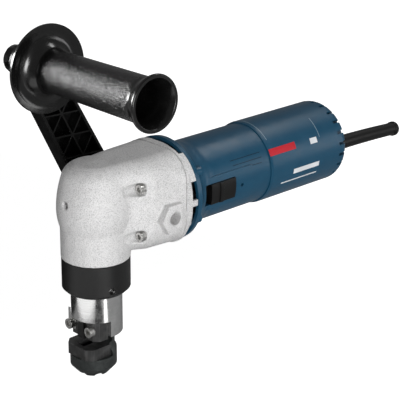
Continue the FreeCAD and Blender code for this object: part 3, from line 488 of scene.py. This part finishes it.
def shadeLinerCup(name, v):
    beginMesh(name)
    inward = Vector(v["axis"])
    middle = Vector(v["spot"]) + inward * (v["depth"] / 2)
    bpy.ops.mesh.primitive_cylinder_add(vertices=48, radius=v["radius"], depth=v["depth"], location=middle)
    cup = bpy.context.object
    cup.name = name
    cup.rotation_euler = inward.to_track_quat("Z", "Y").to_euler()
    bpy.ops.object.transform_apply(location=True, rotation=True, scale=True)
    front = min(cup.data.polygons, key=lambda face: face.center.dot(inward)).index
    bpy.ops.object.mode_set(mode="EDIT")
    bpy.ops.mesh.select_mode(type="FACE")
    bpy.ops.mesh.select_all(action="DESELECT")
    bpy.ops.object.mode_set(mode="OBJECT")
    cup.data.polygons[front].select = True
    bpy.ops.object.mode_set(mode="EDIT")
    bpy.ops.mesh.inset(thickness=v["wall"], depth=0)
    bpy.ops.mesh.extrude_region_move(TRANSFORM_OT_translate={"value": tuple(inward * v["depth"] * 0.9)})
    bpy.ops.object.mode_set(mode="OBJECT")
    # the black finish on the cup is painted shade for the inside of the hole
    settle(cup, "tool_body", finishes["black_oxide"])


for name, v in shadeCupValues.items():
    shadeLinerCup(name, v)
print("cups ready")


# cord guard: the rubber sleeve droops a little towards its end; bend is in degrees at each step
guardValues = {"start": 0.290, "step": 0.0125, "bends": 8, "bend": -0.45, "axisZ": 0.1356, "edge": 0.0004}


def cordGuardPiece(v):
    piece = copyOf("cord_guard", "cord_guard_drooped")
    bpy.ops.object.mode_set(mode="EDIT")
    for k in range(v["bends"]):
        bpy.ops.mesh.select_all(action="SELECT")
        bpy.ops.mesh.bisect(plane_co=(v["start"] + k * v["step"], 0, v["axisZ"]), plane_no=(1, 0, 0))
    for k in range(v["bends"]):
        bendX = v["start"] + k * v["step"]
        bpy.ops.mesh.select_all(action="DESELECT")
        bpy.ops.object.mode_set(mode="OBJECT")
        for vertex in piece.data.vertices:
            vertex.select = vertex.co.x > bendX + 0.0002
        bpy.ops.object.mode_set(mode="EDIT")
        bpy.ops.mesh.select_mode(type="VERT")
        bpy.ops.transform.rotate(value=math.radians(v["bend"]), orient_axis="Y",
                                 center_override=(bendX, 0, v["axisZ"]))
    bpy.ops.object.mode_set(mode="OBJECT")
    applyModifier(piece, "BEVEL", width=v["edge"], segments=2, limit_method="ANGLE", angle_limit=math.radians(40))
    settle(piece, "tool_body", finishes["rubber_black"], 30)
    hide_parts("cord_guard")


cordGuardPiece(guardValues)
print("cord guard ready")


# strips that lie on the round motor body: printed marks, and moulded lines drawn as darker blue strips whose colour is
# painted shade of the grooves; each is start x, end x, start and end angle, in degrees from the top towards the switch
stripLayers = {"groove": (0.03645, 0.0002), "mark": (0.03795, 0.00015)}  # radius and thickness


def roundStrip(name, x0, x1, fromAngle, toAngle, layer, finish):
    beginMesh(name)
    radius, thick = stripLayers[layer]
    bpy.ops.mesh.primitive_plane_add(size=1.0, location=((x0 + x1) / 2, 0, motorZ + radius + thick / 2),
                                     rotation=(math.radians(90), 0, 0))
    strip = bpy.context.object
    strip.name = name
    strip.dimensions = (x1 - x0, thick, 0)
    bpy.ops.object.transform_apply(location=True, rotation=True, scale=True)
    bpy.ops.object.mode_set(mode="EDIT")
    bpy.ops.mesh.select_all(action="SELECT")
    bpy.ops.transform.rotate(value=-math.radians(fromAngle), orient_axis="X", center_override=(0, 0, motorZ))
    bpy.ops.mesh.spin(steps=max(2, int((toAngle - fromAngle) / 2)), angle=math.radians(toAngle - fromAngle),
                      center=(0, 0, motorZ), axis=(1, 0, 0))
    bpy.ops.mesh.select_all(action="SELECT")
    bpy.ops.mesh.normals_make_consistent(inside=False)
    bpy.ops.object.mode_set(mode="OBJECT")
    settle(strip, "tool_body", finish)


stripValues = {"groove_shade_upper": (0.127, 0.164, 57.2, 58.2), "groove_shade_middle": (0.1285, 0.164, 64.5, 65.5),
               "groove_shade_lower": (0.129, 0.163, 71.8, 72.8)}
markValues = {"mark_red": (0.1735, 0.2070, 67.5, 77.5), "mark_badge": (0.2265, 0.2355, 68.0, 76.0),
              "mark_pale": (0.2020, 0.2360, 102.0, 109.0), "mark_thin": (0.1880, 0.2350, 113.0, 115.0),
              "frame_front": (0.1765, 0.1771, 44.0, 117.0), "frame_rear": (0.2395, 0.2401, 62.0, 93.0)}
printRed = mouldedPlastic("printRed", (0.42, 0.010, 0.020), (0.52, 0.016, 0.030), 0.45, 2600, 0.00004)
printPale = mouldedPlastic("printPale", (0.62, 0.64, 0.66), (0.74, 0.76, 0.78), 0.45, 2600, 0.00004)
printFaint = mouldedPlastic("printFaint", (0.16, 0.24, 0.30), (0.22, 0.30, 0.36), 0.45, 2600, 0.00004)
# painted shade: the darker blue stands in for the shade inside the moulded grooves
grooveShadeBlue = mouldedPlastic("grooveShadeBlue", (0.002, 0.018, 0.036), (0.003, 0.024, 0.046), 0.5, 2600, 0.00004)
markPaint = {"mark_red": printRed, "frame_front": printFaint, "frame_rear": printFaint}
for name, extent in stripValues.items():
    roundStrip(name, *extent, "groove", grooveShadeBlue)
for name, extent in markValues.items():
    roundStrip(name, *extent, "mark", markPaint.get(name, printPale))
print("strips ready")


# the grip light reaches only the black handle
handlePieces = bpy.data.collections.new("handlePieces")
for name in ("handle_grip_finished", "handle_bracket_finished"):
    handlePieces.objects.link(bpy.data.objects[name])
bpy.data.objects["gripLight"].light_linking.receiver_collection = handlePieces
print("grip light ready")
